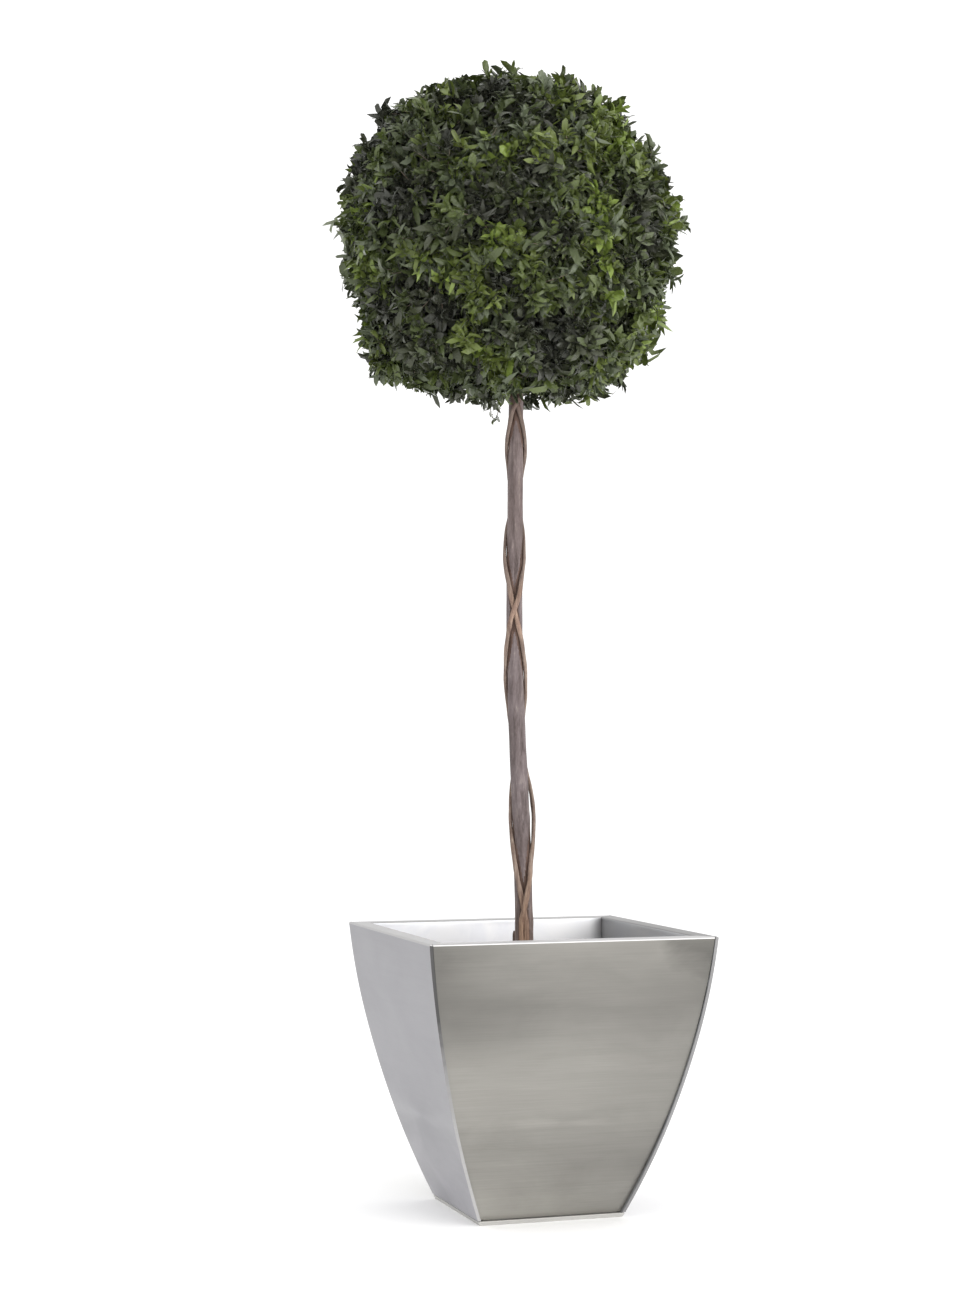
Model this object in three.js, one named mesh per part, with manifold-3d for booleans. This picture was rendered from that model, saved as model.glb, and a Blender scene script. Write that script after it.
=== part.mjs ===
// Standard topiary: a clipped ball of small leaves on one bare stem, with two thin stems wound
// round it, growing in a square metal planter whose sides bow outwards.
//
// Millimetres, +Z up. The origin is the centre of the planter's flat underside, and the
// planter's front faces -Y. Every sub-part is one closed, named mesh; neighbours that would
// touch are kept GAP apart.

import * as THREE from 'three';
import { mergeVertices } from 'three/addons/utils/BufferGeometryUtils.js';
import Module from 'manifold-3d';

const wasm = await Module();
wasm.setup();

// ---------------------------------------------------------------- driving dimensions

const GAP = 0.3; // clearance between neighbouring solids
const OVERRUN = 10; // how far a cutting block runs past what it cuts

const PLANTER = {
  height: 362, // underside to the top of the rim
  baseHalf: 96, // half the side of the foot
  topHalf: 190, // half the side of the rim
  bow: 14.5, // how far the arc of a side stands out of its chord
  sideSheet: 4, // folded double edge of the left and right walls
  endSheet: 2, // front and back walls
  recessTop: 1, // front wall behind the side walls' edges, at the rim
  recessFoot: 6, // and at the foot
  foot: 5.5, // base plate
  flange: 24, // width of the flat rim
  flangeSheet: 3,
  skirt: 50, // depth of the rim's inner fold
  skirtSheet: 2,
  steps: 16, // facets up one wall
};

const SOIL_TOP = 300;

const STEM = {
  foot: SOIL_TOP + GAP,
  tip: 1068,
  footRadius: 12,
  tipRadius: 9.5,
  flare: 5.5, // extra radius where the stem meets the soil
  flareHeight: 9, // height over which the flare fades to a third
  sides: 14,
  steps: 16,
  stepEase: 2.2, // closer steps round the flare than further up
};

// The stem leans and curves in one upright plane, turned by LEAN_TURN from the XZ plane.
const LEAN_TURN = THREE.MathUtils.degToRad(-18);
const LEAN = {
  foot: -4, // offset of the axis at the soil, along the plane
  start: 350, // height where it starts to lean
  bend: -16.5,
  bendHeight: 776,
  tip: -14,
};

// A pruned side shoot at the foot: a short stub beside the stem.
const STUB = { radius: 4.6, footRadius: 5.6, top: 359, reach: 10.8, turn: 160, sides: 8 };

const WINDER = {
  radius: 2.5,
  top: 1060,
  foot: STEM.foot + 1,
  firstCrossing: 1049, // height where the two winders first cross, at the front
  turnRise: 105, // fall of the first half turn
  turnGrowth: 15, // each half turn is longer than the last
  crossings: 4, // half turns to the last crossing, after which both run down the front
  beside: 0.085, // half turns between each of them and the front line there
  lift: 5.6, // how far the outer winder rises to pass over the inner
  liftAngle: 50, // degrees on each side of a crossing over which it rises
  looseCentre: 530, // height of a loose stretch that stands off the stem
  looseReach: 55,
  looseRise: 4,
  sides: 8,
  steps: 60,
};
const FRONT_TURN = LEAN_TURN - Math.PI / 2; // direction of the winders' front crossings

const CROWN = {
  offset: -22, // along the lean plane, from the planter's axis
  height: 1272,
  radius: 221,
  lowerShoulder: { elevation: -46, spread: 16, rise: 26, lopsided: 5 },
  upperShoulder: { elevation: 40, spread: 15, rise: 5, lopsided: 9 },
  flatTop: { elevation: 90, spread: 26, rise: -12, lopsided: 0 },
  core: 0.89, // core's share of the radius
  coreDetail: 5,
  stemRadius: 8.5,
  stemHeight: 60,
  stemSides: 10,
  clearance: 24, // free space round the stem's axis
  clearTo: STEM.tip + 40, // height up to which that space is free
};

const TWIG = {
  branches: 40, // branches inside the core, each ending in a spray of twigs
  perBranch: 3,
  spread: 0.235, // sideways lean of a spray's twigs, as a share of the radius
  fan: 0.8, // how much of that lean a twig's root has already
  root: 0.84, // where a twig leaves the core's inside
  reach: 0.96, // where it ends
  rootRadius: 4.2,
  tipRadius: 2.8,
  turnVariation: 0.6, // radians
  leanVariation: 0.4, // shares of the lean and of the reach
  reachVariation: 0.03,
};

const LEAF = {
  perTwig: 5,
  firstSeat: 0.55, // shares of the twig between which the leaves sit
  lastSeat: 0.97,
  length: 52,
  lengthVariation: 0.24, // share of the length
  width: 24,
  thickness: 2,
  splay: 62, // degrees between a leaf and its twig
  splayVariation: 14,
  tipSplay: 12, // and for the leaf at the twig's tip
  sunk: 1, // depth of the leaf's root in the twig
  apart: 10, // least distance between the leaves of different twigs
  testedAt: [0.35, 0.6, 0.8, 1], // shares of the length where that distance is tested
  stray: 1.08, // no leaf reaches beyond this share of the radius
};

const COLOURS = {
  metal: { color: 0xa6a4a0, roughness: 0.38, metalness: 0.9 },
  bark: { color: 0x857774, roughness: 0.85, metalness: 0 },
  winder: { color: 0xa68a74, roughness: 0.8, metalness: 0 },
  leaf: { color: 0x3c4a2b, roughness: 0.55, metalness: 0 },
  soil: { color: 0x3a2c22, roughness: 0.95, metalness: 0 },
};

// ---------------------------------------------------------------- helpers

/** Seeded random numbers from 0 to 1 (mulberry32). */
function seededRandom(seed) {
  let state = seed;
  return () => {
    state = (state + 0x6d2b79f5) | 0;
    let t = Math.imul(state ^ (state >>> 15), 1 | state);
    t = (t + Math.imul(t ^ (t >>> 7), 61 | t)) ^ t;
    return ((t ^ (t >>> 14)) >>> 0) / 4294967296;
  };
}

/** A manifold solid from a closed three.js geometry. */
function toSolid(geometry) {
  geometry.deleteAttribute('normal');
  geometry.deleteAttribute('uv');
  const merged = mergeVertices(geometry);
  return new wasm.Manifold(new wasm.Mesh({
    numProp: 3,
    vertProperties: new Float32Array(merged.attributes.position.array),
    triVerts: new Uint32Array(merged.index.array),
  }));
}

/** A three.js geometry from a manifold solid. */
function toGeometry(solid) {
  const mesh = solid.getMesh();
  const geometry = new THREE.BufferGeometry();
  geometry.setAttribute('position', new THREE.BufferAttribute(mesh.vertProperties, 3));
  geometry.setIndex(new THREE.BufferAttribute(mesh.triVerts, 1));
  geometry.computeVertexNormals();
  return geometry;
}

/** The named mesh of one sub-part. */
function part(name, geometry, finish) {
  const mesh = new THREE.Mesh(geometry, new THREE.MeshStandardMaterial(finish));
  mesh.name = name;
  return mesh;
}

/** A factor or offset that varies evenly round a middle value by half a range each way. */
const vary = (middle, range, random) => middle + range * (random() - 0.5);

/** A smooth hump: 1 at 0, fading to 0 over a few units. */
const bell = (t) => Math.exp(-t * t);

/** A point at a height, offset along the lean plane and, at right angles, across it. */
function leanPoint(along, across, z) {
  const cos = Math.cos(LEAN_TURN);
  const sin = Math.sin(LEAN_TURN);
  return new THREE.Vector3(along * cos - across * sin, along * sin + across * cos, z);
}

// ---------------------------------------------------------------- planter

/** Half the planter's outer width at a height: an arc from the foot to the rim. */
function halfWidth(z) {
  const { height, baseHalf, topHalf, bow } = PLANTER;
  const run = topHalf - baseHalf;
  const chord = Math.hypot(run, height);
  const radius = (chord * chord / 4 + bow * bow) / (2 * bow);
  const centreX = (baseHalf + topHalf) / 2 - (radius - bow) * height / chord;
  const centreZ = height / 2 + (radius - bow) * run / chord;
  return centreX + Math.sqrt(radius * radius - (z - centreZ) ** 2);
}

/** How far the front and back walls lie behind the side walls' edges. */
function recess(z) {
  return THREE.MathUtils.lerp(PLANTER.recessFoot, PLANTER.recessTop, z / PLANTER.height);
}

/** The planter's side curve between two heights, moved in by an inset. */
function sideCurve(low, high, inset) {
  const points = [];
  for (let i = 0; i <= PLANTER.steps; i++) {
    const z = low + (high - low) * i / PLANTER.steps;
    points.push(new THREE.Vector2(halfWidth(z) - inset(z), z));
  }
  return points;
}

/** An outline in the XZ plane, run along Y on both sides of the axis. */
function alongY(points, half) {
  const shape = new THREE.Shape(points);
  const geometry = new THREE.ExtrudeGeometry(shape, { depth: 2 * half, bevelEnabled: false });
  geometry.rotateX(Math.PI / 2);
  geometry.translate(0, half, 0);
  return geometry;
}

/** A sheet that follows the side curve on +X, between two insets. */
function bowedSheet(low, high, outer, inner) {
  const outside = sideCurve(low, high, outer);
  const inside = sideCurve(low, high, inner);
  return toSolid(alongY([...outside, ...inside.reverse()], PLANTER.topHalf + OVERRUN));
}

/** A block with the side curve on both sides of X, run along Y, or along X if turned. */
function bowedBlock(low, high, inset, turned) {
  const right = sideCurve(low, high, inset);
  const left = right.map((p) => new THREE.Vector2(-p.x, p.y)).reverse();
  const geometry = alongY([...right, ...left], PLANTER.topHalf + OVERRUN);
  if (turned) geometry.rotateZ(Math.PI / 2);
  return toSolid(geometry);
}

/** Walls run from above the foot to below the flange. */
const WALL_LOW = PLANTER.foot + GAP;
const WALL_HIGH = PLANTER.height - PLANTER.flangeSheet - GAP;

function sideWall() {
  const sheet = bowedSheet(WALL_LOW, WALL_HIGH, () => 0, () => PLANTER.sideSheet);
  return toGeometry(sheet.intersect(bowedBlock(WALL_LOW, WALL_HIGH, () => 0, true)));
}

function endWall() {
  const sheet = bowedSheet(WALL_LOW, WALL_HIGH, recess, (z) => recess(z) + PLANTER.endSheet);
  const between = bowedBlock(WALL_LOW, WALL_HIGH, () => PLANTER.sideSheet + GAP, true);
  return toGeometry(sheet.intersect(between));
}

function footPlate() {
  const across = bowedBlock(0, PLANTER.foot, () => 0, false);
  return toGeometry(across.intersect(bowedBlock(0, PLANTER.foot, () => 0, true)));
}

/** The fill: compost up to SOIL_TOP, clear of all four walls. */
function soilFill() {
  const sideInset = () => PLANTER.sideSheet + GAP;
  const endInset = (z) => recess(z) + PLANTER.endSheet + GAP;
  const across = bowedBlock(WALL_LOW, SOIL_TOP, sideInset, false);
  return toGeometry(across.intersect(bowedBlock(WALL_LOW, SOIL_TOP, endInset, true)));
}

/** One side of the rim on +X: a flat flange with a skirt folded down inside, mitred. */
function rimRail(outer) {
  const { height, topHalf, flange, flangeSheet, skirt, skirtSheet } = PLANTER;
  const inner = topHalf - flange;
  const profile = [
    new THREE.Vector2(outer, height - flangeSheet),
    new THREE.Vector2(outer, height),
    new THREE.Vector2(inner, height),
    new THREE.Vector2(inner, height - skirt),
    new THREE.Vector2(inner + skirtSheet, height - skirt),
    new THREE.Vector2(inner + skirtSheet, height - flangeSheet),
  ];
  const plan = new THREE.Shape([
    new THREE.Vector2(inner, -inner + GAP),
    new THREE.Vector2(topHalf, -topHalf + GAP),
    new THREE.Vector2(topHalf, topHalf - GAP),
    new THREE.Vector2(inner, inner - GAP),
  ]);
  const depth = skirt + 2 * OVERRUN;
  const mitre = new THREE.ExtrudeGeometry(plan, { depth, bevelEnabled: false });
  mitre.translate(0, 0, height - skirt - OVERRUN);
  return toGeometry(toSolid(alongY(profile, topHalf)).intersect(toSolid(mitre)));
}

function planter() {
  const group = new THREE.Group();
  const wallSide = sideWall();
  const wallEnd = endWall();
  const rimSide = rimRail(PLANTER.topHalf);
  const rimEnd = rimRail(PLANTER.topHalf - PLANTER.recessTop);
  const turns = { right: 0, back: 1, left: 2, front: 3 };
  for (const [side, turn] of Object.entries(turns)) {
    const end = turn % 2 === 1;
    const wall = part(`planter_wall_${side}`, end ? wallEnd : wallSide, COLOURS.metal);
    const rim = part(`planter_rim_${side}`, end ? rimEnd : rimSide, COLOURS.metal);
    wall.rotation.z = turn * Math.PI / 2;
    rim.rotation.z = turn * Math.PI / 2;
    group.add(wall, rim);
  }
  group.add(part('planter_foot', footPlate(), COLOURS.metal));
  group.add(part('soil', soilFill(), COLOURS.soil));
  return group;
}

// ---------------------------------------------------------------- stems

/** Offset of the stem's axis along the lean plane: out to the bend, then back a little. */
function leanAt(z) {
  if (z < LEAN.bendHeight) {
    const up = THREE.MathUtils.smoothstep(z, LEAN.start, LEAN.bendHeight);
    return THREE.MathUtils.lerp(LEAN.foot, LEAN.bend, up);
  }
  const up = THREE.MathUtils.smoothstep(z, LEAN.bendHeight, STEM.tip);
  return THREE.MathUtils.lerp(LEAN.bend, LEAN.tip, up);
}

/** Radius of the stem: an even taper, with a flare at the soil. */
function stemRadius(z) {
  const up = (z - STEM.foot) / (STEM.tip - STEM.foot);
  const taper = THREE.MathUtils.lerp(STEM.footRadius, STEM.tipRadius, up);
  return taper + STEM.flare * Math.exp(-(z - STEM.foot) / STEM.flareHeight);
}

/** Moves each point of an upright geometry over with the stem's lean. */
function leanOver(geometry) {
  const position = geometry.attributes.position;
  for (let i = 0; i < position.count; i++) {
    const z = position.getZ(i);
    const shift = leanPoint(leanAt(z), 0, 0);
    position.setXY(i, position.getX(i) + shift.x, position.getY(i) + shift.y);
  }
  return geometry;
}

/** The main stem, from a flat cut at the soil to a flat tip under the crown. */
function stemSolid() {
  const profile = [new THREE.Vector2(0, STEM.foot)];
  for (let i = 0; i <= STEM.steps; i++) {
    const share = (i / STEM.steps) ** STEM.stepEase;
    const z = THREE.MathUtils.lerp(STEM.foot, STEM.tip, share);
    profile.push(new THREE.Vector2(stemRadius(z), z));
  }
  profile.push(new THREE.Vector2(0, STEM.tip));
  const geometry = new THREE.LatheGeometry(profile, STEM.sides);
  geometry.rotateX(Math.PI / 2);
  return toSolid(leanOver(geometry));
}

/** The pruned stub, standing beside the stem's foot and grown into it. */
function stubSolid() {
  const height = STUB.top - STEM.foot;
  const geometry = new THREE.CylinderGeometry(STUB.radius, STUB.footRadius, height, STUB.sides);
  geometry.rotateX(Math.PI / 2);
  const turn = THREE.MathUtils.degToRad(STUB.turn);
  const along = leanAt(STEM.foot) + STUB.reach * Math.cos(turn);
  const place = leanPoint(along, STUB.reach * Math.sin(turn), STEM.foot + height / 2);
  geometry.translate(place.x, place.y, place.z);
  return toSolid(geometry);
}

/** Half turns that the winding stems have made at a height. */
function halfTurnsAt(z) {
  const { firstCrossing, turnRise, turnGrowth, crossings, beside } = WINDER;
  const fall = firstCrossing - z;
  const turns = (Math.sqrt(turnRise ** 2 + 4 * turnGrowth * fall) - turnRise) / (2 * turnGrowth);
  if (turns < crossings) return turns;
  return crossings + beside * Math.tanh((turns - crossings) / beside);
}

/** How far the outer winding stem rises over the inner one, from 0 to 1. */
function liftShare(halfTurns) {
  const past = (halfTurns - WINDER.crossings) / WINDER.beside;
  if (past > 0) return Math.cos(past * Math.PI / 2);
  const offCrossing = Math.abs(halfTurns - Math.round(halfTurns)) * 180;
  const near = Math.min(1, offCrossing / WINDER.liftAngle);
  return Math.cos(near * Math.PI / 2) ** 2;
}

/** The path of one winding stem. side is +1 or -1, the way it turns round the main stem. */
class WinderPath extends THREE.Curve {
  constructor(side) {
    super();
    this.side = side;
  }

  getPoint(t, target = new THREE.Vector3()) {
    const z = THREE.MathUtils.lerp(WINDER.top, WINDER.foot, t);
    const halfTurns = halfTurnsAt(z);
    const angle = FRONT_TURN + this.side * Math.PI * halfTurns;
    let reach = stemRadius(z) + WINDER.radius + GAP;
    if (this.side < 0) {
      reach += WINDER.lift * liftShare(halfTurns);
      reach += WINDER.looseRise * bell((z - WINDER.looseCentre) / WINDER.looseReach);
    }
    const centre = leanPoint(leanAt(z), 0, z);
    return target.set(centre.x + reach * Math.cos(angle), centre.y + reach * Math.sin(angle), z);
  }
}

/** A tube along one winder's path. */
function winder(side) {
  const section = new THREE.Shape();
  section.absarc(0, 0, WINDER.radius, 0, 2 * Math.PI);
  return new THREE.ExtrudeGeometry(section, {
    steps: WINDER.steps,
    curveSegments: WINDER.sides / 2,
    extrudePath: new WinderPath(side),
  });
}

function stems() {
  const group = new THREE.Group();
  group.add(part('trunk', toGeometry(stemSolid().add(stubSolid())), COLOURS.bark));
  group.add(part('winding_stem_inner', winder(1), COLOURS.winder));
  group.add(part('winding_stem_outer', winder(-1), COLOURS.winder));
  return group;
}

// ---------------------------------------------------------------- crown

const CROWN_CENTRE = leanPoint(CROWN.offset, 0, CROWN.height);
const CROWN_LEFT = leanPoint(-1, 0, 0);

/** Distance from the crown's centre to its clipped outline in a direction. */
function crownRadius(direction) {
  const elevation = THREE.MathUtils.radToDeg(Math.asin(direction.z));
  const left = direction.dot(CROWN_LEFT);
  let radius = CROWN.radius;
  for (const band of [CROWN.lowerShoulder, CROWN.upperShoulder, CROWN.flatTop]) {
    const rise = band.rise + band.lopsided * left;
    radius += rise * bell((elevation - band.elevation) / band.spread);
  }
  return radius;
}

/** The point at a share of the crown's radius in a direction. */
function crownPoint(direction, share) {
  return CROWN_CENTRE.clone().addScaledVector(direction, share * crownRadius(direction));
}

/** The dense inside of the ball, which the twigs and leaves stand out of. */
function coreSolid() {
  const geometry = new THREE.IcosahedronGeometry(1, CROWN.coreDetail);
  const position = geometry.attributes.position;
  const direction = new THREE.Vector3();
  for (let i = 0; i < position.count; i++) {
    direction.fromBufferAttribute(position, i).normalize();
    const point = crownPoint(direction, CROWN.core);
    position.setXYZ(i, point.x, point.y, point.z);
  }
  return toSolid(geometry);
}

/** The crown's own stem, from just above the trunk's tip into the core. */
function crownStemSolid() {
  const { stemRadius: radius, stemHeight, stemSides } = CROWN;
  const geometry = new THREE.CylinderGeometry(radius, radius, stemHeight, stemSides);
  geometry.rotateX(Math.PI / 2);
  const place = leanPoint(leanAt(STEM.tip), 0, STEM.tip + GAP + stemHeight / 2);
  geometry.translate(place.x, place.y, place.z);
  return toSolid(geometry);
}

/** Directions spread evenly over the ball by the golden angle. */
function evenDirection(index, count) {
  const z = 1 - 2 * (index + 0.5) / count;
  const turn = index * Math.PI * (3 - Math.sqrt(5));
  const flat = Math.sqrt(1 - z * z);
  return new THREE.Vector3(flat * Math.cos(turn), flat * Math.sin(turn), z);
}

/** Two unit vectors at right angles to a direction and to each other. */
function crossAxes(direction) {
  const up = Math.abs(direction.z) > 0.9 ? new THREE.Vector3(1, 0, 0) : new THREE.Vector3(0, 0, 1);
  const side = new THREE.Vector3().crossVectors(up, direction).normalize();
  return [side, new THREE.Vector3().crossVectors(direction, side)];
}

/** A three-sided tapering twig. */
function twigSolid(root, tip) {
  const along = tip.clone().sub(root);
  const length = along.length();
  const geometry = new THREE.CylinderGeometry(TWIG.tipRadius, TWIG.rootRadius, length, 3);
  geometry.translate(0, length / 2, 0);
  const turn = new THREE.Quaternion().setFromUnitVectors(
    new THREE.Vector3(0, 1, 0), along.normalize(),
  );
  geometry.applyQuaternion(turn);
  geometry.translate(root.x, root.y, root.z);
  return toSolid(geometry);
}

/** A leaf: a flat eight-faced diamond from its root along a direction, facing outwards. */
function leafGeometry(root, direction, outwards, length) {
  const geometry = new THREE.OctahedronGeometry(1);
  geometry.scale(length / 2, LEAF.width / 2, LEAF.thickness / 2);
  geometry.translate(length / 2, 0, 0);
  const side = new THREE.Vector3().crossVectors(outwards, direction).normalize();
  const face = new THREE.Vector3().crossVectors(direction, side);
  geometry.applyMatrix4(new THREE.Matrix4().makeBasis(direction, side, face));
  geometry.translate(root.x, root.y, root.z);
  return geometry;
}

/** Whether every point of a geometry is inside the crown's reach and clear of the stem. */
function staysInSpace(geometry) {
  const position = geometry.attributes.position;
  const point = new THREE.Vector3();
  for (let i = 0; i < position.count; i++) {
    point.fromBufferAttribute(position, i);
    const axis = leanPoint(leanAt(point.z), 0, point.z);
    if (point.z < CROWN.clearTo && axis.distanceTo(point) < CROWN.clearance) return false;
    const direction = point.sub(CROWN_CENTRE);
    const reach = direction.length();
    if (reach > LEAF.stray * crownRadius(direction.normalize())) return false;
  }
  return true;
}

/** Points along a leaf's middle, past its root. */
function leafPoints(seat, direction, length) {
  return LEAF.testedAt.map((share) => seat.clone().addScaledVector(direction, share * length));
}

/** The leaves of one twig, turned round it by the golden angle, the last at its tip. */
function twigLeaves(root, tip, outwards, random, taken) {
  const along = tip.clone().sub(root).normalize();
  const [side, across] = crossAxes(along);
  const start = random() * 2 * Math.PI;
  const leaves = [];
  const added = [];
  for (let i = 0; i < LEAF.perTwig; i++) {
    const last = i === LEAF.perTwig - 1;
    const splay = last ? LEAF.tipSplay : vary(LEAF.splay, LEAF.splayVariation, random);
    const lean = THREE.MathUtils.degToRad(splay);
    const turn = start + i * Math.PI * (3 - Math.sqrt(5));
    const sideways = side.clone().multiplyScalar(Math.cos(turn))
      .addScaledVector(across, Math.sin(turn));
    const direction = along.clone().multiplyScalar(Math.cos(lean))
      .addScaledVector(sideways, Math.sin(lean));
    const share = THREE.MathUtils.lerp(LEAF.firstSeat, LEAF.lastSeat, i / (LEAF.perTwig - 1));
    const seat = root.clone().lerp(tip, share).addScaledVector(direction, -LEAF.sunk);
    const length = LEAF.length * vary(1, LEAF.lengthVariation, random);
    const points = leafPoints(seat, direction, length);
    if (points.some((p) => taken.some((q) => q.distanceTo(p) < LEAF.apart))) continue;
    const leaf = leafGeometry(seat, direction, outwards, length);
    if (!staysInSpace(leaf)) continue;
    leaves.push(toSolid(leaf));
    added.push(...points);
  }
  taken.push(...added);
  return leaves;
}

/** Every twig and its leaves: sprays of twigs at the ends of evenly spread branches. */
function sprays() {
  const random = seededRandom(20);
  const taken = [];
  const solids = [];
  for (let i = 0; i < TWIG.branches; i++) {
    const branch = evenDirection(i, TWIG.branches);
    const [side, across] = crossAxes(branch);
    const start = random() * 2 * Math.PI;
    for (let j = 0; j < TWIG.perBranch; j++) {
      const turn = vary(start + j * 2 * Math.PI / TWIG.perBranch, TWIG.turnVariation, random);
      const lean = TWIG.spread * vary(1, TWIG.leanVariation, random);
      const outwards = branch.clone().addScaledVector(side, lean * Math.cos(turn))
        .addScaledVector(across, lean * Math.sin(turn)).normalize();
      const root = crownPoint(branch.clone().lerp(outwards, TWIG.fan).normalize(), TWIG.root);
      const tip = crownPoint(outwards, TWIG.reach * vary(1, TWIG.reachVariation, random));
      const twig = twigSolid(root, tip);
      if (!staysInSpace(toGeometry(twig))) continue;
      solids.push(twig, ...twigLeaves(root, tip, outwards, random, taken));
    }
  }
  return solids;
}

/** The whole crown as one body: loose scraps and sealed hollows are left out. */
function crown() {
  const fused = wasm.Manifold.union([coreSolid(), crownStemSolid(), ...sprays()]);
  const bodies = fused.decompose().sort((a, b) => b.volume() - a.volume());
  return part('foliage_ball', toGeometry(bodies[0]), COLOURS.leaf);
}

// ---------------------------------------------------------------- the plant in its planter

const group = new THREE.Group();
group.add(planter(), stems(), crown());

export default group;
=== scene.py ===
"""Looks of a standard ball topiary in its square metal planter.

Every length is in metres, in the part's own frame: +Z up, the origin under the middle of the
planter's foot, the planter's front towards -Y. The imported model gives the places; the rules
that grow the stems and the crown are those of the part's source, carried to finer twigs.
"""

import math
from statistics import NormalDist

import bpy
import numpy as np
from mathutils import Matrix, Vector


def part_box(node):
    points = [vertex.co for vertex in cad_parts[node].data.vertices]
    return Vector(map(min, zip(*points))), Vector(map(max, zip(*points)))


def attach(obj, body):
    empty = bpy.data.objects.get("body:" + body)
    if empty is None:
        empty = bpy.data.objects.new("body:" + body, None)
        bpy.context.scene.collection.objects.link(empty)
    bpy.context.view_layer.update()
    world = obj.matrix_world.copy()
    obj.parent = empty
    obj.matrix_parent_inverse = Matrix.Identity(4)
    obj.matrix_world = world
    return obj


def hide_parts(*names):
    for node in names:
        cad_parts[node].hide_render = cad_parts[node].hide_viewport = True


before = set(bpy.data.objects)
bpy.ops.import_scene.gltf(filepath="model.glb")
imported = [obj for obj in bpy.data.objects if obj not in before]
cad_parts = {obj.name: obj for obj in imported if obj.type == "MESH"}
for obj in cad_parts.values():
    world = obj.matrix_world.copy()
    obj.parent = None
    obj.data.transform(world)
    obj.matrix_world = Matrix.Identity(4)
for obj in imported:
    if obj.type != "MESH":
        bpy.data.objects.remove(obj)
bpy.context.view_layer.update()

MM = 0.001
BODY = "root"


# ------------------------------------------------------------------ sizes

RIM_LOW, RIM_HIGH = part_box("planter_rim_right")
FOOT_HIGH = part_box("planter_foot")[1]
SOIL_LOW, SOIL_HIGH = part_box("soil")
TRUNK_LOW, TRUNK_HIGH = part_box("trunk")

HEIGHT = RIM_HIGH.z
TOP_HALF = RIM_HIGH.x
BASE_HALF = 96 * MM
BOW = 14.5 * MM
FOOT = FOOT_HIGH.z
FLANGE = RIM_HIGH.x - RIM_LOW.x
SKIRT = RIM_HIGH.z - RIM_LOW.z
SKIRT_LOW = RIM_LOW.z - 1 * MM
SOIL_TOP = SOIL_HIGH.z
SOIL_SKIRT = 12 * MM  # how far the compost's visible layer goes down
CHIPS, CHIP_MARGIN = 900, 9 * MM
BARE_FOOT = 27 * MM  # no chips this near the stem's axis

HEM = 4 * MM  # thickness of the side walls' folded edges
SHEET = 2 * MM
RECESS_TOP = 1 * MM
RECESS_FOOT = 6 * MM
SEAM = 0.4 * MM  # joint between the front wall and the side walls' edges
BEND = 2.5 * MM  # radius of the folds at the rim
DENT = 0.22 * MM  # how far the walls are out of true
FOOT_GAP = 1.0 * MM  # dark line between the foot and the walls
PLINTH_INSET, PLINTH_RISE = 8 * MM, 4 * MM  # what closes that line inside

LEAN_TURN = math.radians(-18)
ALONG = np.array([math.cos(LEAN_TURN), math.sin(LEAN_TURN), 0])  # the plane the stem leans in
ACROSS = np.array([-math.sin(LEAN_TURN), math.cos(LEAN_TURN), 0])
LEAN_FOOT, LEAN_BEND, LEAN_TIP = -4 * MM, -16.5 * MM, -14 * MM
LEAN_START = 50 * MM  # above the soil
BEND_HEIGHT = 776 * MM
STEM_FOOT, STEM_TIP = TRUNK_LOW.z, TRUNK_HIGH.z
STEM_FOOT_RADIUS, STEM_TIP_RADIUS = 12 * MM, 9.5 * MM
FLARE, FLARE_HEIGHT = 5.5 * MM, 9 * MM
KNOTS = (372, 441, 508, 633, 702, 841, 905, 1003)  # their heights, in millimetres
STUB_FOOT_RADIUS, STUB_RADIUS = 5.6 * MM, 4.6 * MM
STUB_TOP, STUB_REACH, STUB_TURN = 359 * MM, 10.8 * MM, math.radians(160)

WINDER_RADIUS = 2.5 * MM
WINDER_TOP = 1060 * MM
FIRST_CROSSING, TURN_RISE, TURN_GROWTH = 1049 * MM, 105 * MM, 15 * MM
CROSSINGS = 4  # half turns to the last crossing, after which both run down the front
BESIDE = 0.085  # half turns between each of them and the front line there
WINDER_WIDTH = 1.3  # how much wider than thick the winding stems have grown
CREASE = 5.2 * MM  # how far from a winding stem's line the bark is darkened, as painted shade
LIFT, LIFT_ANGLE = 5.4 * MM, 50
LOOSE_CENTRE, LOOSE_REACH, LOOSE_RISE = 546 * MM, 55 * MM, 5.0 * MM
FRONT_TURN = LEAN_TURN - math.pi / 2

CROWN_CENTRE = ALONG * -22 * MM + np.array([0, 0, 1272 * MM])
CROWN_RADIUS = 221 * MM
LOWER_SHOULDER = (-46, 16, 26 * MM, 5 * MM)  # elevation, spread, rise, extra on the left
UPPER_SHOULDER = (40, 15, 5 * MM, 9 * MM)
FLAT_TOP = (90, 26, -12 * MM, 0)
# where the shears took more or less: angle in the lean plane from its right, spread, rise
UNEVEN = ((35, 9, -12 * MM), (60, 12, -6 * MM), (103, 24, -17 * MM), (172, 8, 9 * MM),
          (208, 7, -8 * MM), (223, 9, 5 * MM), (251, 9, -16 * MM), (290, 7, -10 * MM),
          (332, 8, 8 * MM), (349, 7, -11 * MM))


# ------------------------------------------------------------------ helpers


def placed(name, data):
    """A new object in the scene."""
    thing = bpy.data.objects.new(name, data)
    bpy.context.scene.collection.objects.link(thing)
    return thing


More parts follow.
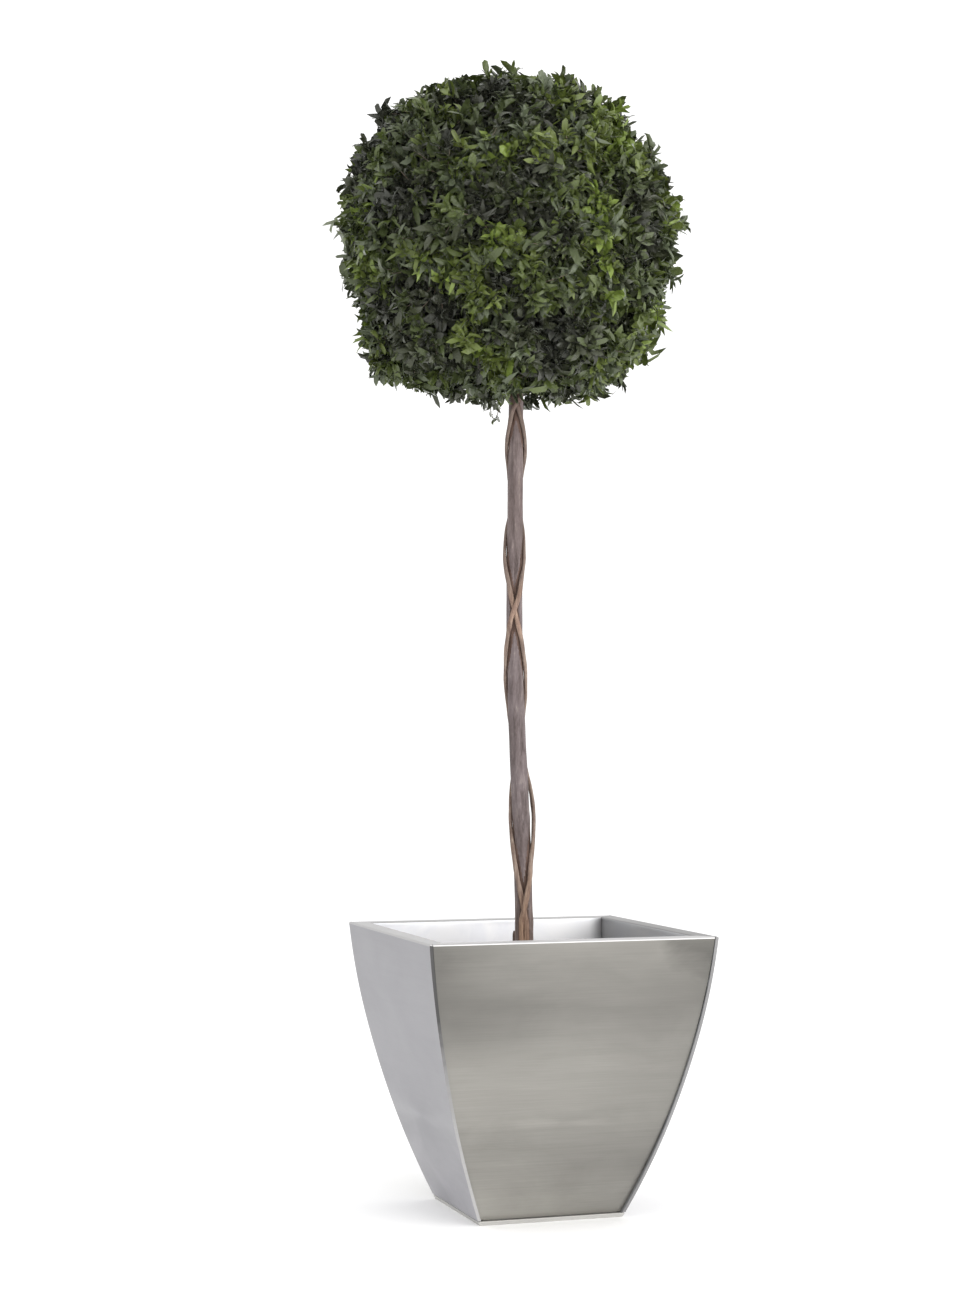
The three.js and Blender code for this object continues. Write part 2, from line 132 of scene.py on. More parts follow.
def mesh_piece(name, points, faces, material, slot, smooth=True):
    """A mesh object that rides with the part. faces is a list of arrays, of one width each."""
    mesh = bpy.data.meshes.new(name)
    mesh.vertices.add(len(points))
    mesh.vertices.foreach_set("co", np.asarray(points, np.float32).ravel())
    corners = np.concatenate([f.ravel() for f in faces]).astype(np.int32)
    widths = np.concatenate([np.full(len(f), f.shape[1]) for f in faces])
    mesh.loops.add(len(corners))
    mesh.loops.foreach_set("vertex_index", corners)
    mesh.polygons.add(len(widths))
    starts = np.concatenate([[0], np.cumsum(widths)[:-1]]).astype(np.int32)
    mesh.polygons.foreach_set("loop_start", starts)
    mesh.update(calc_edges=True)
    mesh.validate()
    mesh.materials.append(material)
    mesh.polygons.foreach_set("use_smooth", np.full(len(mesh.polygons), smooth))
    piece = placed(name, mesh)
    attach(piece, BODY)
    return piece


def face_vectors(mesh, kind):
    """The center or normal of every face."""
    values = np.empty(3 * len(mesh.polygons))
    mesh.polygons.foreach_get(kind, values)
    return values.reshape(-1, 3)


def smooth_noise(points, wavelength, seed, waves=14):
    """Seeded smooth noise at points, of mean 0 and deviation about 1."""
    rng = np.random.default_rng(seed)
    directions = rng.normal(size=(waves, 3))
    directions /= np.linalg.norm(directions, axis=1)[:, None]
    lengths = wavelength * rng.uniform(0.7, 1.5, waves)
    phases = rng.uniform(0, 2 * np.pi, waves)
    angles = points @ (directions / lengths[:, None]).T * 2 * np.pi + phases
    return math.sqrt(2 / waves) * np.sin(angles).sum(axis=-1)


def srgb(red, green, blue):
    """A colour given as 0 to 255 in sRGB, as linear RGBA."""
    def linear(value):
        value = float(value) / 255
        return value / 12.92 if value <= 0.04045 else ((value + 0.055) / 1.055) ** 2.4

    return (linear(red), linear(green), linear(blue), 1.0)


def bell(t):
    return np.exp(-(t**2))


def smoothstep(x, low, high):
    t = np.clip((x - low) / (high - low), 0, 1)
    return t * t * (3 - 2 * t)


def unit(vectors):
    return vectors / np.linalg.norm(vectors, axis=-1, keepdims=True)


def heading(azimuth, elevation):
    """A unit vector at angles, in degrees, round from +X and up from level."""
    azimuth, elevation = math.radians(azimuth), math.radians(elevation)
    level = math.cos(elevation)
    return np.array([level * math.cos(azimuth), level * math.sin(azimuth), math.sin(elevation)])


def ring_angles(sides):
    return np.linspace(0, 2 * np.pi, sides, endpoint=False)


def rings_round(path, side, other, radii):
    """Rings of points round a path, in the plane of two unit vectors. radii: (..., sides)."""
    angle = ring_angles(radii.shape[-1])[:, None]
    spokes = np.cos(angle) * side[..., None, :] + np.sin(angle) * other[..., None, :]
    return path[..., None, :] + radii[..., None] * spokes


def ring_faces(rings, sides):
    """Quads between rings of points, and end caps."""
    i, j = np.meshgrid(np.arange(rings - 1), np.arange(sides), indexing="ij")
    a = i * sides + j
    b = i * sides + (j + 1) % sides
    quads = np.stack([a, b, b + sides, a + sides], -1).reshape(-1, 4)
    bottom = np.arange(sides)[::-1][None]
    top = (np.arange(sides) + (rings - 1) * sides)[None]
    return [quads, bottom, top]


def repeated(groups, count, size):
    """Groups of faces, each of one width, for count like pieces of size points each."""
    offset = (np.arange(count) * size)[:, None, None]
    return [(np.array(group) + offset).reshape(-1, len(group[0])) for group in groups]


# ------------------------------------------------------------------ materials


class Nodes:
    """Short ways to add shader nodes to one material."""

    def __init__(self, name):
        self.material = bpy.data.materials.new(name)
        self.material.use_nodes = True
        self.tree = self.material.node_tree
        self.shader = self.tree.nodes["Principled BSDF"]

    def add(self, kind, **values):
        node = self.tree.nodes.new(kind)
        for key, value in values.items():
            setattr(node, key, value)
        return node

    def feed(self, socket, value):
        """Link another node's output to a socket, or set the socket to a plain value."""
        if isinstance(value, bpy.types.NodeSocket):
            self.tree.links.new(value, socket)
        else:
            socket.default_value = value

    def fill(self, node, **values):
        """Feed a node's inputs by name, where an underscore stands for a space."""
        for key, value in values.items():
            self.feed(node.inputs[key.replace("_", " ")], value)

    def set(self, **values):
        self.fill(self.shader, **values)

    def place(self, scale=1):
        """Coordinates in the part's frame, in metres, times a scale or one for each axis."""
        coordinates = self.add("ShaderNodeTexCoord")
        mapping = self.add("ShaderNodeMapping")
        scale = [float(s) for s in np.broadcast_to(scale, 3)]
        self.fill(mapping, Vector=coordinates.outputs["Object"], Scale=scale)
        return mapping.outputs["Vector"]

    def along(self, direction, offset=0.0):
        """How far each point is along a direction, whose length is the scale."""
        dot = self.add("ShaderNodeVectorMath", operation="DOT_PRODUCT")
        self.feed(dot.inputs[0], self.place())
        self.feed(dot.inputs[1], direction)
        return self.maths("ADD", dot.outputs["Value"], offset)

    def distance(self, centre, scale):
        """How far each point is from a place, with a scale for each axis."""
        node = self.add("ShaderNodeVectorMath", operation="DISTANCE")
        self.feed(node.inputs[0], self.place(scale))
        self.feed(node.inputs[1], [c * s for c, s in zip(centre, scale)])
        return node.outputs["Value"]

    def noise(self, scale, detail=3.0, roughness=0.55, distortion=0.0):
        node = self.add("ShaderNodeTexNoise")
        self.fill(node, Vector=self.place(scale), Scale=1.0, Detail=detail, Roughness=roughness,
                  Distortion=distortion)
        return node.outputs["Fac"]

    def spread(self, value, low, high, new_low, new_high):
        node = self.add("ShaderNodeMapRange")
        self.fill(node, Value=value, From_Min=low, From_Max=high, To_Min=new_low, To_Max=new_high)
        return node.outputs["Result"]

    def maths(self, operation, a, b):
        node = self.add("ShaderNodeMath", operation=operation)
        self.feed(node.inputs[0], a)
        self.feed(node.inputs[1], b)
        return node.outputs[0]

    def weighted(self, *parts):
        """The sum of values times their weights."""
        first, *others = [self.maths("MULTIPLY", value, weight) for value, weight in parts]
        for other in others:
            first = self.maths("ADD", first, other)
        return first

    def ramp(self, value, stops):
        node = self.add("ShaderNodeValToRGB")
        elements = node.color_ramp.elements
        while len(elements) < len(stops):
            elements.new(0.5)
        for element, (position, colour) in zip(elements, stops):
            element.position = position
            element.color = colour
        self.fill(node, Fac=value)
        return node.outputs["Color"]

    def toned(self, value, stops):
        """A colour that follows a value, by stops of sRGB colours, 0 to 255."""
        return self.ramp(value, [(t, srgb(*rgb)) for t, rgb in stops])

    def tinted(self, colour, value, stops):
        """A colour times tints that follow a value, by stops of greys or (red, green, blue)."""
        tints = self.ramp(value, [(t, (*np.broadcast_to(tint, 3), 1)) for t, tint in stops])
        node = self.add("ShaderNodeMix", data_type="RGBA", blend_type="MULTIPLY")
        for index, source in ((0, 1.0), (6, colour), (7, tints)):
            self.feed(node.inputs[index], source)
        return node.outputs[2]

    def bump(self, height, strength, distance):
        node = self.add("ShaderNodeBump")
        self.fill(node, Height=height, Strength=strength, Distance=distance)
        self.set(Normal=node.outputs["Normal"])


def brushed_metal(name, light, depth, roughness, *shades):
    """Sheet brushed along the horizontal, with a cloudy patina.

    light is its sRGB colour and depth how much darker it gets. Each shade is painted reflection
    and shade: (direction, offset, stops), greys that multiply the colour along a direction, or
    (centre, scale, stops) for greys by the distance from a place.
    """
    nodes = Nodes(name)
    bands = nodes.noise((5, 5, 60), 3.0, 0.6)
    lines = nodes.noise((12, 12, 1500), 2.0, 0.5)
    clouds = nodes.noise((7, 7, 12), 4.0, 0.6, 0.6)
    tone = nodes.weighted((bands, 0.28), (lines, 0.32), (clouds, 0.40))
    colour = nodes.toned(tone, [(0.34, np.array(light) - depth), (0.66, light)])
    for start, measure, stops in shades:
        nearness = nodes.distance if isinstance(measure, tuple) else nodes.along
        place = nodes.maths("ADD", nearness(start, measure),
                            nodes.spread(clouds, 0.25, 0.75, -0.08, 0.08))
        colour = nodes.tinted(colour, place, stops)
    rough = nodes.spread(clouds, 0.3, 0.7, roughness - 0.04, roughness + 0.07)
    nodes.set(Base_Color=colour, Roughness=rough, Metallic=0.85, Anisotropic=0.5)
    nodes.bump(lines, 0.12, 0.2 * MM)
    return nodes.material


def bark(name, tones, grain, tints=()):
    """Bark in sRGB tones, streaked along the stem. Each tint is (share of its height, colour)."""
    nodes = Nodes(name)
    streaks = nodes.noise((grain, grain, grain * 0.13), 5.0, 0.62, 0.4)
    flecks = nodes.noise((grain * 3.2, grain * 3.2, grain * 0.9), 4.0, 0.6)
    tone = nodes.weighted((streaks, 0.68), (flecks, 0.32))
    colour = nodes.toned(tone, zip(np.linspace(0.33, 0.67, len(tones)), tones))
    blotches = nodes.noise((38, 38, 14), 3.0, 0.6)
    if tints:
        length = STEM_TIP - STEM_FOOT
        up = nodes.along((0, 0, 1 / length), -STEM_FOOT / length)
        up = nodes.maths("ADD", up, nodes.spread(blotches, 0.3, 0.7, -0.05, 0.05))
        colour = nodes.tinted(colour, up, tints)
    colour = nodes.tinted(colour, blotches, [(0.34, (0.72, 0.70, 0.68)), (0.56, 1)])
    nodes.set(Base_Color=colour, Roughness=nodes.spread(flecks, 0.3, 0.7, 0.72, 0.92))
    nodes.bump(tone, 0.7, 1.2 * MM)
    return nodes.material


def leaf_material(name, colour):
    """One plain leaf green with a crinkled, glossy skin."""
    nodes = Nodes(name)
    crinkles = nodes.noise(340, 3.0, 0.6)
    nodes.set(Base_Color=srgb(*colour), Roughness=nodes.spread(crinkles, 0.3, 0.7, 0.10, 0.30),
              Specular_IOR_Level=0.4, Sheen_Weight=0.2, Sheen_Roughness=0.25,
              Sheen_Tint=srgb(240, 248, 232))
    nodes.bump(crinkles, 0.8, 1.5 * MM)
    return nodes.material


# ------------------------------------------------------------------ planter


def half_width(z):
    """Half the planter's outer width at a height: an arc from the foot to the rim."""
    run = TOP_HALF - BASE_HALF
    chord = math.hypot(run, HEIGHT)
    radius = (chord * chord / 4 + BOW * BOW) / (2 * BOW)
    centre_x = (BASE_HALF + TOP_HALF) / 2 - (radius - BOW) * HEIGHT / chord
    centre_z = HEIGHT / 2 + (radius - BOW) * run / chord
    return centre_x + np.sqrt(radius * radius - (z - centre_z) ** 2)


def recess(z):
    return RECESS_FOOT + (RECESS_TOP - RECESS_FOOT) * z / HEIGHT


def on_fold(centre_x, degrees):
    """A point on one of the folds at the rim."""
    angle = math.radians(degrees)
    return centre_x + BEND * math.cos(angle), HEIGHT - BEND + BEND * math.sin(angle)


def folded_sheet(outer_top, inset, thickness, half_length, steps=44, columns=28):
    """One side of the planter on +X: wall, fold, flange, fold and skirt, as a closed sheet.

    outer_top is where the wall meets the rim, inset(z) moves the wall in, thickness is that of
    the wall, and half_length(x, z, on_wall) says how far the sheet runs along Y.
    """
    profile = []  # outside point, inside point, whether it is on the wall
    low, high, inner = FOOT + FOOT_GAP, HEIGHT - BEND, TOP_HALF - FLANGE
    for z in np.linspace(low, high, steps):
        x = half_width(z) - inset(z)
        profile.append(((x, z), (x - thickness, z), True))
    for degrees in (25, 50, 75, 90):
        profile.append((on_fold(outer_top - BEND, degrees),
                        (outer_top - thickness, HEIGHT - SHEET), degrees < 90))
    for x in np.linspace(outer_top - HEM - SEAM, inner + BEND, 6):
        profile.append(((x, HEIGHT), (x, HEIGHT - SHEET), False))
    for degrees in (105, 130, 155, 180):
        profile.append((on_fold(inner + BEND, degrees), (inner + SHEET, high), False))
    for z in np.linspace(high - 2 * MM, HEIGHT - SKIRT, 8):
        profile.append(((inner, z), (inner + SHEET, z), False))
    shares = np.linspace(-1, 1, columns)
    outside, inside = [], []
    for out, back, on_wall in profile:
        for rows, (x, z) in ((outside, out), (inside, back)):
            reach = half_length(x, out[1], on_wall)
            rows.append([(x, s * reach, z) for s in shares])
    rings = np.concatenate([outside, np.flip(inside, 1)], axis=1)
    wave = smooth_noise(rings.reshape(-1, 3), 0.16, 7).reshape(rings.shape[:2])
    rings[..., 0] -= DENT * wave * (rings[..., 2] < high)
    return rings.reshape(-1, 3), ring_faces(len(rings), 2 * columns)


def side_reach(x, z, on_wall):
    """Side walls run the full width; their flange is mitred inside the front wall's line."""
    if on_wall:
        return half_width(z)
    return TOP_HALF if x > TOP_HALF - HEM - SEAM / 2 else x


def end_reach(x, z, on_wall):
    """Front and back walls run between the side walls."""
    return half_width(z) - HEM - SEAM if on_wall else min(x, TOP_HALF - HEM - SEAM)


def turned(points, quarter_turns):
    angle = quarter_turns * math.pi / 2
    cos, sin = math.cos(angle), math.sin(angle)
    x, y, z = points.T
    return np.stack([x * cos - y * sin, x * sin + y * cos, z], -1)


def bevelled(piece, width):
    bevel = piece.modifiers.new("edges", "BEVEL")
    bevel.width = width
    bevel.segments = 2
    bevel.limit_method = "ANGLE"
    bevel.angle_limit = math.radians(50)
    bevel.harden_normals = True


def inner_sheet(name, direction, offset, stops):
    """The inside of the sheet on the skirt inside the rim: pale clouds as painted light, painted
    shade along it.
    """
    nodes = Nodes(name)
    clouds = nodes.noise(14, 3.0, 0.6, 0.8)
    colour = nodes.toned(clouds, [(0.36, (242, 244, 249)), (0.6, (252, 253, 255))])
    colour = nodes.tinted(colour, nodes.along(direction, offset), stops)
    nodes.set(Base_Color=colour, Metallic=0.2, Roughness=0.45)
    return nodes.material


def paint_folds(piece, turn, *metals):
    """Give the skirt, the flange with its folds, the edges and the step their own metals."""
    mesh = piece.data
    for metal in metals:
        mesh.materials.append(metal)
    skirt, flange, edge, step = 1, 2, 3, 4
    x, _, z = turned(face_vectors(mesh, "center"), -turn).T
    normal_x, normal_y, _ = turned(face_vectors(mesh, "normal"), -turn).T
    index = np.zeros(len(x), np.int32)
    index[normal_x < -0.5] = step
    index[np.abs(normal_y) > 0.8] = edge
    index[z > HEIGHT - BEND * 0.8] = flange
    index[(x < TOP_HALF - FLANGE + SHEET) & (z < HEIGHT - BEND / 2) & (z > SKIRT_LOW)] = skirt
    mesh.polygons.foreach_set("material_index", index)


def make_planter():
    up = (0, 0, 1 / HEIGHT)
    # Painted reflection and shade on the front and back walls: greys that darken the lower right,
    # the top corners and bands up the height, and two spots on the left.
    low_right = ((2.5, 0, -1.5), 0.5, [(0.25, 1), (0.5, 0.88), (0.72, 0.78)])
    top_left = ((-1.67, 0, 1.67), 0, [(0.70, 1), (0.80, 0.80), (0.88, 0.64)])
    top_right = ((1.67, 0, 1.67), 0, [(0.77, 1), (0.86, 0.60)])
    rise = (up, 0, [(0.03, 0.91), (0.13, 0.75), (0.24, 0.62), (0.42, 0.70), (0.56, 0.66),
                    (0.78, 0.44), (0.95, 0.47)])
    band_left = ((-0.15, 0, 0.262), (7, 0, 18), [(0, 0.74), (0.5, 0.87), (1, 1)])
    low_left = ((-0.10, 0, 0.145), (10, 0, 25), [(0, 0.88), (1, 1)])
    front = brushed_metal("brushed_front", (187, 184, 178), (19, 18, 18), 0.40,
                          low_right, top_left, top_right, rise, band_left, low_left)
    # The side walls are painted lighter towards the foot, as painted light.
    side = brushed_metal("brushed_side", (183, 182, 186), 8, 0.42,
                         (up, 0, [(0, 1), (0.1, 0.86), (0.3, 0.70), (1, 0.69)]))
    # The rim's flanges are lit and shaded copies of one metal: painted lighter on the front,
    # darker on the right.
    lit_and_shaded_rims = {name: brushed_metal(f"brushed_rim_{name}", (light, light - 1, light - 1), 12, 0.48)
            for name, light in (("right", 148), ("back", 184), ("left", 184), ("front", 198))}
    # The side walls' edges are lit and shaded copies: the right one painted darker, the left one a
    # painted highlight low down that fades into painted shade towards the top.
    lit_and_shaded_hems = {name: brushed_metal(f"brushed_hem_{name}", light, 10, 0.45, (up, 0, stops))
            for name, light, stops in (
                ("right", (160, 159, 160), [(0, 0.8), (0.3, 1), (0.9, 0.70)]),
                ("left", (206, 205, 205), [(0.02, 0.95), (0.35, 0.7), (0.6, 0.42), (0.72, 0.13)]))}
    lip = brushed_metal("brushed_lip", (204, 203, 200), 12, 0.45)
    dark = brushed_metal("shadow_line", (176, 175, 171), 12, 0.60)
    across = 0.5 / TOP_HALF  # from 0 to 1 over the planter's width, with an offset of 0.5
    # The skirts inside the rim are painted near white as painted light: the back one with painted
    # shade towards its right corner, the right one with painted shade all along, darkest at the
    # back.
    pale = inner_sheet("inner_pale", up, 0, [(0, 1), (1, 1)])
    back = inner_sheet("inner_back", (across, 0, 0), 0.5, [(0.89, 1), (0.945, 0.36)])
    right = inner_sheet("inner_right", (0, across, 0), 0.5,
                        [(0.05, 0.46), (0.3, 0.44), (0.95, 0.28)])
    step = inner_sheet("step_shade", up, 0, [(0, 0.30), (1, 0.30)])
    for turn, name, metal, skirt in ((0, "right", side, right), (1, "back", front, back),
                                     (2, "left", side, pale), (3, "front", front, pale)):
        if turn % 2:
            points, faces = folded_sheet(TOP_HALF - RECESS_TOP, recess, SHEET, end_reach)
        else:
            points, faces = folded_sheet(TOP_HALF, lambda z: 0, HEM, side_reach)
        piece = mesh_piece(f"planter_{name}", turned(points, turn), faces, metal, "planter_metal")
        paint_folds(piece, turn, skirt, lit_and_shaded_rims[name], lit_and_shaded_hems.get(name, metal), step)
        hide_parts(f"planter_wall_{name}", f"planter_rim_{name}")
        bevelled(piece, (0.6 if turn % 2 else 0.9) * MM)
    make_foot(lip, dark)


def make_foot(lip, dark):
    """The foot plate, and the dark plinth that closes the line between it and the walls."""
    halves = [(half_width(z), z) for z in np.linspace(0, FOOT, 4)]
    inner = half_width(FOOT) - PLINTH_INSET
    halves += [(inner, FOOT), (inner, FOOT + PLINTH_RISE)]
    rings = [[(h, h, z), (-h, h, z), (-h, -h, z), (h, -h, z)] for h, z in halves]
    foot = mesh_piece("planter_base", np.array(rings).reshape(-1, 3), ring_faces(len(rings), 4),
                      lip, "planter_metal", smooth=False)
    foot.data.materials.append(dark)
    # Faces up the plinth take the shadow_line metal: painted shadow in the line.
    for face in foot.data.polygons:
        face.material_index = int(face.center.z > FOOT + PLINTH_RISE / 4)
    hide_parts("planter_foot")
    bevelled(foot, 0.7 * MM)


# ------------------------------------------------------------------ soil


def make_soil():
    """The compost's uneven surface below the rim, with chips of bark on it."""
    nodes = Nodes("compost")
    crumbs = nodes.noise(260, 5.0, 0.65)
    stops = [(0.35, (34, 26, 20)), (0.55, (62, 47, 36)), (0.72, (92, 72, 55))]
    nodes.set(Base_Color=nodes.toned(crumbs, stops), Roughness=0.95)
    nodes.bump(crumbs, 0.9, 3 * MM)
    count = 120
    x, y = np.meshgrid(np.linspace(SOIL_LOW.x, SOIL_HIGH.x, count),
                       np.linspace(SOIL_LOW.y, SOIL_HIGH.y, count))
    top = np.stack([x.ravel(), y.ravel(), np.zeros(count * count)], -1)
    rise = 1.3 * MM * smooth_noise(top, 0.05, 31) + 0.7 * MM * smooth_noise(top, 0.012, 32)
    edge = (np.abs(top[:, :2]) / [SOIL_HIGH.x, SOIL_HIGH.y]).max(axis=1)
    top[:, 2] = SOIL_TOP + np.where(edge > 0.985, -1 * MM, rise)
    index = np.arange(count * count).reshape(count, count)
    a = index[:-1, :-1].ravel()
    quads = np.stack([a, a + 1, a + count + 1, a + count], -1)
    border = np.concatenate([index[0], index[1:, -1], index[-1, -2::-1], index[-2:0:-1, 0]])
    shrink = half_width(SOIL_TOP - SOIL_SKIRT) / half_width(SOIL_TOP)
    skirt = top[border] * [shrink, shrink, 1] - [0, 0, SOIL_SKIRT]
    below = len(top) + np.arange(len(border))
    walls = np.stack([border, below, np.roll(below, -1), np.roll(border, -1)], -1)
    soil = mesh_piece("compost", np.concatenate([top, skirt]),
                      [quads, walls, below[::-1][None]], nodes.material, "soil")
    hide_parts("soil")
    make_chips()


def make_chips():
    """Bark chips strewn over the compost: flat, bent slabs of a few faces."""
    rng = np.random.default_rng(41)
    half = np.array([SOIL_HIGH.x, SOIL_HIGH.y]) - CHIP_MARGIN
    spots = rng.uniform(-1, 1, (CHIPS, 2)) * half
    spots = spots[np.linalg.norm(spots - ALONG[:2] * LEAN_FOOT, axis=1) > BARE_FOOT]
    count = len(spots)
    sizes = rng.uniform([7, 4, 1.2], [19, 9, 2.6], (count, 3)) * MM
    outline = ((-0.5, -0.3), (0, -0.5), (0.5, -0.25), (0.5, 0.3), (0.05, 0.5), (-0.5, 0.25))
    corners = np.array([[x, y, z] for z in (-0.5, 0.5) for x, y in outline])
    corners = corners[None] * sizes[:, None] * rng.uniform(0.8, 1.2, (count, 12, 3))
    turn, tip = rng.uniform(0, 2 * np.pi, count), rng.normal(0, 0.28, (count, 2))
    normal = unit(np.column_stack([tip, np.ones(count)]))
    across = unit(np.cross(normal, np.stack([np.cos(turn), np.sin(turn), 0 * turn], -1)))
    axes = np.stack([np.cross(across, normal), across, normal], 1)
    base = np.column_stack([spots, SOIL_TOP + rng.uniform(0, 3.2, count) * MM])
    points = base[:, None] + np.einsum("nvk,nkx->nvx", corners, axes)
    ring = [(i, (i + 1) % 6, (i + 1) % 6 + 6, i + 6) for i in range(6)]
    faces = repeated([ring, [(6, 7, 8, 9, 10, 11)], [(5, 4, 3, 2, 1, 0)]], count, 12)
    nodes = Nodes("bark_chip")
    tone = nodes.noise(70, 4.0, 0.6)
    stops = [(0.35, (70, 50, 38)), (0.5, (104, 78, 58)), (0.66, (140, 112, 86))]
    nodes.set(Base_Color=nodes.toned(tone, stops), Roughness=0.85)
    nodes.bump(nodes.noise(500), 0.5, 0.8 * MM)
    mesh_piece("bark_chips", points.reshape(-1, 3), faces, nodes.material, "soil", smooth=False)


# ------------------------------------------------------------------ stems


def lean_at(z):
    """Offset of the stem's axis along its plane at a height."""
    up = smoothstep(z, STEM_FOOT + LEAN_START, BEND_HEIGHT)
    lower = LEAN_FOOT + (LEAN_BEND - LEAN_FOOT) * up
    up = smoothstep(z, BEND_HEIGHT, STEM_TIP)
    return np.where(z < BEND_HEIGHT, lower, LEAN_BEND + (LEAN_TIP - LEAN_BEND) * up)


def stem_axis(z):
    """Points on the stem's axis."""
    points = lean_at(z)[..., None] * ALONG
    points[..., 2] = z
    return points


def stem_radius(z):
    share = (z - STEM_FOOT) / (STEM_TIP - STEM_FOOT)
    taper = STEM_FOOT_RADIUS + (STEM_TIP_RADIUS - STEM_FOOT_RADIUS) * share
    return taper + FLARE * np.exp(-(z - STEM_FOOT) / FLARE_HEIGHT)


def bark_relief(turn, z, depth, seed, ridges=(4, 15)):
    """Ridges and furrows that run along a stem and drift round it."""
    rng = np.random.default_rng(seed)
    relief = np.zeros(np.broadcast(turn, z).shape)
    for _ in range(22):
        around = rng.integers(*ridges)
        along = rng.normal(0, 38)
        relief += np.sin(around * turn + along * z + rng.uniform(0, 6.28)) / math.sqrt(around)
    relief = relief / 2.2
    return depth * (relief - 0.45 * np.maximum(0, -relief - 0.4))


def upright_limb(name, path, radii, material):
    """A stem or stub whose rings lie level."""
    points = rings_round(path, *np.eye(3)[:2], radii)
    return mesh_piece(name, points.reshape(-1, 3), ring_faces(*radii.shape), material, "bark")


def make_trunk():
    """The main stem, with bark relief and knots, and the pruned stub at its foot."""
    tones = [(66, 54, 51), (100, 87, 85), (119, 106, 105), (147, 134, 128)]
    tints = [(0, (1, 0.90, 0.72)), (0.16, 0.90), (0.3, (0.85, 0.88, 0.91)),
             (0.6, (0.87, 0.89, 0.92)), (0.75, 0.94)]
    z = np.linspace(STEM_FOOT, STEM_TIP, 300)[:, None]
    turn = ring_angles(56)[None]
    radius = stem_radius(z) + bark_relief(turn, z, 0.45 * MM, 51)
    radius = radius + bark_relief(turn, z * 3.1, 0.16 * MM, 52, (9, 24))
    rng = np.random.default_rng(53)
    for height in KNOTS:
        side = rng.uniform(0, 2 * np.pi)
        gap = np.angle(np.exp(1j * (turn - side))) * 11 * MM
        size = rng.uniform(6, 11) * MM
        knot = bell(np.hypot(gap, z - height * MM) / size)
        radius = radius + rng.uniform(0.7, 1.7) * MM * knot
    trunk = upright_limb("stem", stem_axis(z[:, 0]), radius, bark("stem_bark", tones, 190, tints))
    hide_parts("trunk")
    paint_crease_shade(trunk.data)
    make_stub()


def paint_crease_shade(mesh):
    """Bark beside the winding stems in a browner, darker material: painted shade in the creases.
    """
    mesh.materials.append(bark("crease_shade_bark", [(58, 42, 34), (86, 66, 57), (108, 86, 76)], 260))
    centres = face_vectors(mesh, "center")
    near = np.zeros(len(centres), bool)
    z = centres[:, 2].clip(None, WINDER_TOP)
    axis = stem_axis(z)
    for side in (1, -1):
        outward = winder_path(side, z) - axis
        across = np.abs(np.cross(unit(outward), centres - axis)[:, 2])
        near |= ((outward * (centres - axis)).sum(-1) > 0) & (across < CREASE)
    mesh.polygons.foreach_set("material_index", near.astype(np.int32))


def make_stub():
    """A pruned side shoot beside the foot of the stem."""
    material = bark("stub_bark", [(62, 48, 42), (88, 70, 61), (112, 92, 81)], 200)
    place = ((LEAN_FOOT + STUB_REACH * math.cos(STUB_TURN)) * ALONG
             + STUB_REACH * math.sin(STUB_TURN) * ACROSS)
    share = np.linspace(0, 1, 26)[:, None]
    z = STEM_FOOT + (STUB_TOP - STEM_FOOT) * share
    radius = STUB_FOOT_RADIUS + (STUB_RADIUS - STUB_FOOT_RADIUS) * share
    radius = radius * (1 - 0.22 * smoothstep(share, 0.93, 1.0))
    radius = radius + bark_relief(ring_angles(20)[None], z, 0.3 * MM, 57, (2, 8))
    upright_limb("pruned_stub", place + z * [0, 0, 1], radius, material)


def half_turns_at(z):
    """Half turns that the winding stems have made at a height."""
    fall = FIRST_CROSSING - z
    turns = (np.sqrt(TURN_RISE**2 + 4 * TURN_GROWTH * fall) - TURN_RISE) / (2 * TURN_GROWTH)
    last = CROSSINGS + BESIDE * np.tanh((turns - CROSSINGS) / BESIDE)
    return np.where(turns < CROSSINGS, turns, last)


def lift_share(half_turns):
    """How far the outer winding stem rises over the inner one, from 0 to 1."""
    past = (half_turns - CROSSINGS) / BESIDE
    near = np.minimum(1, np.abs(half_turns - np.round(half_turns)) * 180 / LIFT_ANGLE)
    return np.where(past > 0, np.cos(past * np.pi / 2), np.cos(near * np.pi / 2) ** 2)


def winder_path(side, z):
    """Centre line of one winding stem at heights z. side is +1, inner, or -1, outer."""
    half_turns = half_turns_at(z)
    angle = FRONT_TURN + side * np.pi * half_turns
    reach = stem_radius(z) + WINDER_RADIUS
    if side < 0:
        reach = reach + LIFT * lift_share(half_turns)
        reach = reach + LOOSE_RISE * bell((z - LOOSE_CENTRE) / LOOSE_REACH)
    points = stem_axis(z)
    points[:, 0] += reach * np.cos(angle)
    points[:, 1] += reach * np.sin(angle)
    return points


def pressed(points, path, z):
    """Widen a winding stem's rings along the main stem's skin."""
    run = np.gradient(path, axis=0)
    around = unit(np.cross(path - stem_axis(z), run))
    around = unit(np.cross(run, np.cross(around, run)))[:, None]
    along = ((points - path[:, None]) * around).sum(-1, keepdims=True)
    return points + (WINDER_WIDTH - 1) * along * around


